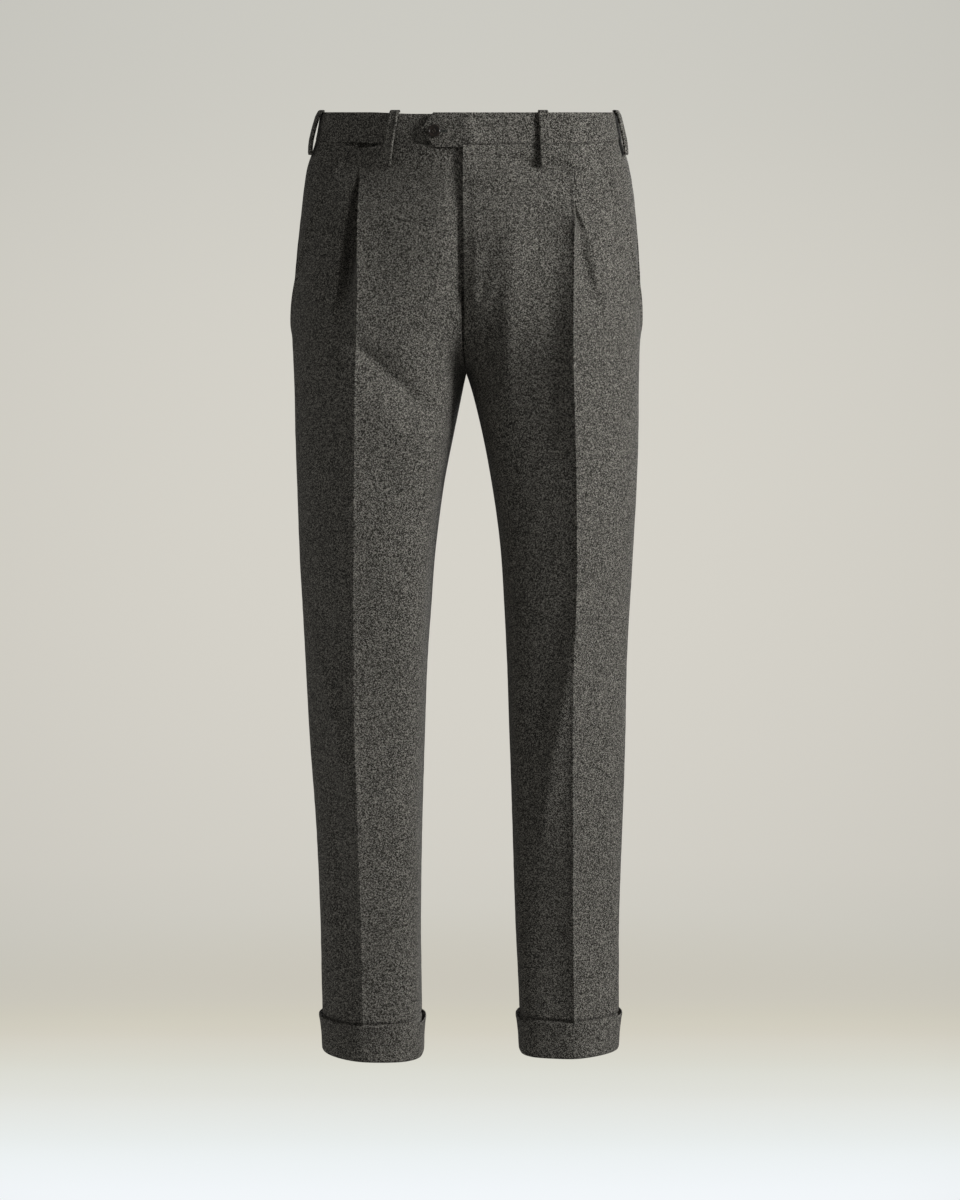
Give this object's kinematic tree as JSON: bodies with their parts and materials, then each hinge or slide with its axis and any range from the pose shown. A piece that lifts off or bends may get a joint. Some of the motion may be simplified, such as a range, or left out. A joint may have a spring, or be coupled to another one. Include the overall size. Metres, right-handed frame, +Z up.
{
  "type": "pleated dress trousers, as worn",
  "caption": "Dark grey flannel dress trousers with front pleats, pressed creases, a pointed waistband tab and turn-ups, filled out as worn and open at waist and hems.",
  "frame": {"origin": "middle of the waist opening, level with the top of the side seams", "axes": "+Z up along the body, front facing -Y, wearer's right at -X"},
  "size_m": [0.3878, 0.2631, 1.064],
  "materials": {
    "panels": "melange wool flannel with a soft nap",
    "facings": "the same flannel, in shade",
    "waistband": "the same flannel over a stiff canvas",
    "turnups": "the same flannel, folded double",
    "belt_loops": "the same flannel, folded and pressed",
    "button": "dark horn, satin"
  },
  "bodies": {
    "root": {"front_r": "panels", "front_l": "panels", "back_r": "panels", "back_l": "panels", "pocket_facing_r": "facings", "pocket_facing_l": "facings", "coin_pocket_facing": "facings", "waistband_r": "waistband", "waistband_l": "waistband", "turnup_r": "turnups", "turnup_l": "turnups", "belt_loop_front_r": "belt_loops", "belt_loop_front_l": "belt_loops", "belt_loop_side_r": "belt_loops", "belt_loop_side_l": "belt_loops", "belt_loop_back_r": "belt_loops", "belt_loop_back_l": "belt_loops", "belt_loop_back_centre": "belt_loops", "waist_button": "button"}
  },
  "joints": []
}
